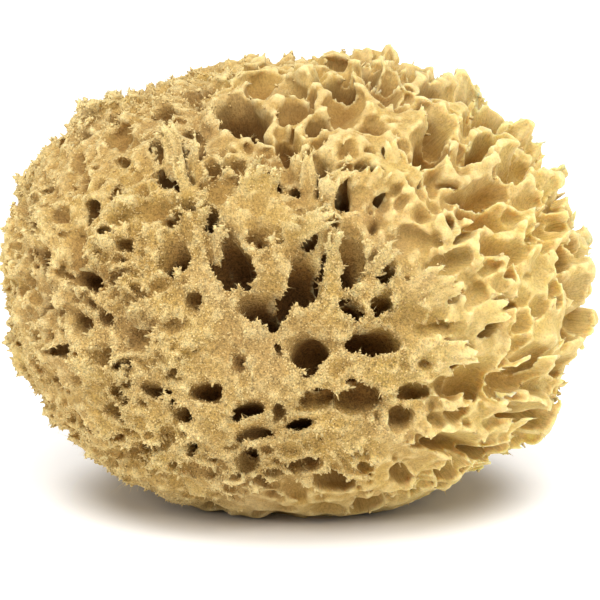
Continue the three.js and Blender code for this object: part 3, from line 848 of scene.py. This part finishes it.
place = add("TexCoord").outputs["Object"]
depth_in = add("Attribute", attribute_name="depth_mm").outputs["Fac"]
crest_in = add("Attribute", attribute_name="crest").outputs["Fac"]
fuzz_in = add("Attribute", attribute_name="fuzz").outputs["Fac"]
# deeper below the outer surface the colour goes darker and browner: partly the fibre's own browner tone in
# the channels, partly painted shade
deep_share = mapped(depth_in, -4, 23)
x_in = add("SeparateXYZ")
links.new(place, x_in.inputs["Vector"])
thin = mapped(x_in.outputs["X"], 0.012, 0.045)
wavy = math_of("ADD", deep_share, mapped(noise(place, 130, 3), 0.3, 0.7, -0.05, 0.05))
color = ramp_of(
    wavy,
    (0.0, srgb(226, 204, 148)),
    (0.16, srgb(211, 185, 126)),
    (0.3, srgb(199, 168, 106)),
    (0.55, srgb(146, 108, 56)),
    (1.0, srgb(82, 50, 26)),
)
# on the right, where the blades are thin, the deep parts are painted lighter: a painted glow for light
# shining through the thin felt, over its own honey tone
honey_and_painted_glow = ramp_of(
    wavy,
    (0.0, srgb(222, 207, 150)),
    (0.2, srgb(212, 191, 130)),
    (0.4, srgb(208, 181, 114)),
    (0.7, srgb(192, 153, 82)),
    (1.0, srgb(140, 98, 50)),
)
color = mix("MIX", thin, color, honey_and_painted_glow)
# fibres combed outwards from the middle of the sponge
outward = add("VectorMath", operation="SUBTRACT")
links.new(place, outward.inputs[0])
outward.inputs[1].default_value = MIDDLE * MM
combed = add("VectorMath", operation="NORMALIZE")
links.new(outward.outputs["Vector"], combed.inputs[0])
fine_streaks = noise(combed.outputs["Vector"], 125, 3, 0.65)
lined = ramp_of(fine_streaks, (0.35, grey(0.8)), (0.5, grey(0.97)), (0.65, grey(1.05)))
color = mix("MULTIPLY", 1.0, color, lined)
# patches that are greyer or more honey-coloured
patches = mapped(noise(place, 45, 3, 0.6), 0.35, 0.65)
color = mix("MULTIPLY", 1.0, color, ramp_of(patches, (0, srgb(246, 240, 236)), (1, srgb(255, 250, 226))))
# painted highlight: the crests and rims are made paler
tips = mapped(crest_in, 0.0, 0.2)
color = mix("MIX", math_of("MULTIPLY", tips, 0.6), color, srgb(246, 226, 166))
# crumbs and pinholes of the felt
crumbs = noise(place, 1300, 4, 0.65)
grain = noise(place, 2600, 3, 0.7)
grained = mapped(fuzz_in, 0.1, 0.7, 0.25, 1.0)
grain_shade = ramp_of(grain, (0.38, grey(0.75)), (0.5, grey(0.97)), (0.6, grey(1.08)))
color = mix("MULTIPLY", grained, color, grain_shade)
crumbs_shade = ramp_of(crumbs, (0.36, grey(0.6)), (0.5, grey(0.95)), (0.62, grey(1.1)))
color = mix("MULTIPLY", grained, color, crumbs_shade)
# the pinholes are dark dots of painted shade near the outer surface, where the felt is only dented a little
# by the bump
pins = feed(add("TexVoronoi", feature="F1"), Vector=place, Scale=520.0, Randomness=1.0).outputs["Distance"]
pin_patches = noise(place, 160, 2)
holes = math_of("MULTIPLY", mapped(pins, 0.2, 0.1), mapped(pin_patches, 0.48, 0.56))
near_top = math_of("MULTIPLY", mapped(depth_in, 4.5, 3.0), grained)
holes = math_of("MULTIPLY", holes, near_top)
color = mix("MIX", math_of("MULTIPLY", holes, 0.75), color, srgb(96, 62, 30))
links.new(color, shader.inputs["Base Color"])
links.new(mapped(x_in.outputs["X"], 0.0, 0.045, 0.2, 0.9), shader.inputs["Subsurface Weight"])

streaks = noise(combed.outputs["Vector"], 55, 3, 0.6)
felted = noise(place, 900, 5, 0.7)
felted = math_of("MULTIPLY", felted, grained)
height = math_of("ADD", math_of("MULTIPLY", felted, 0.9), math_of("MULTIPLY", streaks, 0.5))
height = math_of("SUBTRACT", height, math_of("MULTIPLY", holes, 0.6))
bump = feed(add("Bump"), Height=height, Strength=0.7, Distance=0.0011)
links.new(bump.outputs["Normal"], shader.inputs["Normal"])

for half in halves:
    half.data.materials.append(felt_fibre)
    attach(half, "root")
    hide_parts("sponge")

# The torn ends are dry and bleached, and let no light through.
torn_fibre = bpy.data.materials.new("torn_fibre")
torn_fibre.use_nodes = True
nodes, links = torn_fibre.node_tree.nodes, torn_fibre.node_tree.links
shader = nodes["Principled BSDF"]
shader.inputs["Roughness"].default_value = 0.95
shader.inputs["Specular IOR Level"].default_value = 0.15
place = add("TexCoord").outputs["Object"]
depth_in = add("Attribute", attribute_name="depth_mm").outputs["Fac"]
# a random tone, made darker the deeper a chip sits below the outer surface as painted shade
shade = math_of("ADD", noise(place, 700, 3, 0.7), mapped(depth_in, 0, 14, 0.12, -0.4))
torn = ramp_of(shade, (0.1, srgb(160, 120, 66)), (0.4, srgb(210, 180, 118)), (0.65, srgb(236, 212, 150)))
links.new(torn, shader.inputs["Base Color"])

# Where the felt tore and dried, its rims end in flakes and stray fibres, and crumbs of it stand on its
# lands. Each flake or crumb is a small closed chip with its foot in the felt, and each fibre is a spike.
IN_THE_FELT = 0.35  # share of a chip's length


def chips(name, feet, ways, sides, lengths, widths, thicknesses, blunt):
    """One mesh of closed chips, each with a foot of three corners and a blunt edge or a tip."""
    ways = ways / np.linalg.norm(ways, axis=1)[:, None]
    across = np.cross(ways, sides)
    across /= np.linalg.norm(across, axis=1)[:, None] + 1e-9
    sides = np.cross(across, ways)
    sunk = feet - ways * (IN_THE_FELT * lengths)[:, None]
    tips = feet + ways * lengths[:, None]
    half_edge = sides * (widths / 2)[:, None]
    corners = [sunk + half_edge, sunk - half_edge, sunk + across * thicknesses[:, None]]
    if blunt:
        lean = half_edge * dice.uniform(-0.6, 0.6, (len(feet), 1))
        corners += [tips + lean + half_edge * blunt, tips + lean - half_edge * blunt]
        faces = ((0, 1, 2), (1, 0, 3), (1, 3, 4), (0, 2, 3), (2, 1, 4), (2, 4, 3))
    else:
        corners += [tips]
        faces = ((0, 1, 2), (1, 0, 3), (0, 2, 3), (2, 1, 3))
    every = np.arange(len(feet))[:, None, None] * len(corners) + np.array(faces)
    return mesh_of(name, np.stack(corners, axis=1).reshape(-1, 3), every.reshape(-1, 3))


CLEAR_OF_TABLE = 2.5
FLAKES = 26000
CRUMBS = 30000
FIBRES = 7000
dice = np.random.default_rng(5)
points, normals, ridge, crest, depth = (np.concatenate(lists) for lists in zip(*felt_points))
radial = points - middle
radial /= np.linalg.norm(radial, axis=1)[:, None]
ridge += dice.normal(size=ridge.shape) * 1e-3
above_table = points[:, 2] > CLEAR_OF_TABLE
fuzzy = fuzz_at(points)


def chosen_of(fit, share, most, again=False):
    """Points that fit, each taken by the chance given for it, and no more than the most."""
    places = np.flatnonzero(fit & above_table & (dice.uniform(size=len(fit)) < share))
    return dice.choice(places, most if again else min(len(places), most), replace=again)


RIM = 0.07  # how far a point of a rim stands out from its neighbours
sharp_rim = np.clip(crest / RIM - 2, 0, 1)
chosen = chosen_of((crest > RIM) & (depth < 10), 0.75 * fuzzy - 0.07 + 0.05 * sharp_rim, FLAKES)
turned = dice.normal(size=(len(chosen), 3))
torn = sharp_rim[chosen] * dice.gamma(1.5, 0.22, len(chosen))
flakes = chips(
    "torn_rims",
    points[chosen],
    normals[chosen] * 0.9 + radial[chosen] * 0.5 + turned * 0.22,
    ridge[chosen],
    0.1 + dice.gamma(2.0, 0.15, len(chosen)) + 0.9 * torn,
    dice.uniform(0.5, 1.4, len(chosen)) + 0.5 * torn,
    dice.uniform(0.22, 0.42, len(chosen)),
    0.3,
)
chosen = chosen_of((crest < 0.1) & (crest > -0.1) & (depth < 7), (fuzzy - 0.2) / 0.7, CRUMBS)
turned = dice.normal(size=(len(chosen), 3))
crumbs_on = chips(
    "felt_crumbs",
    points[chosen] + np.cross(normals[chosen], turned) * 0.3,
    normals[chosen] + turned * 0.35,
    turned[:, [1, 2, 0]],
    dice.uniform(0.06, 0.24, len(chosen)),
    dice.uniform(0.35, 0.75, len(chosen)),
    dice.uniform(0.35, 0.65, len(chosen)),
    0.6,
)
chosen = chosen_of((crest > 2.5 * RIM) & (depth < 6), fuzzy - 0.05, FIBRES, again=True)
turned = dice.normal(size=(len(chosen), 3))
fibres = chips(
    "stray_fibres",
    points[chosen] + dice.normal(size=(len(chosen), 3)) * 0.12,
    normals[chosen] * 0.8 + radial[chosen] * 0.8 + turned * 0.5,
    turned[:, [1, 2, 0]],
    0.5 + dice.gamma(1.6, 0.4, len(chosen)),
    dice.uniform(0.07, 0.13, len(chosen)),
    dice.uniform(0.07, 0.12, len(chosen)),
    0,
)
for piece in (flakes, crumbs_on, fibres):
    own = coordinates(piece)
    give(piece, "depth_mm", depth_below(own))
    piece.data.materials.append(torn_fibre)
    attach(piece, "root")
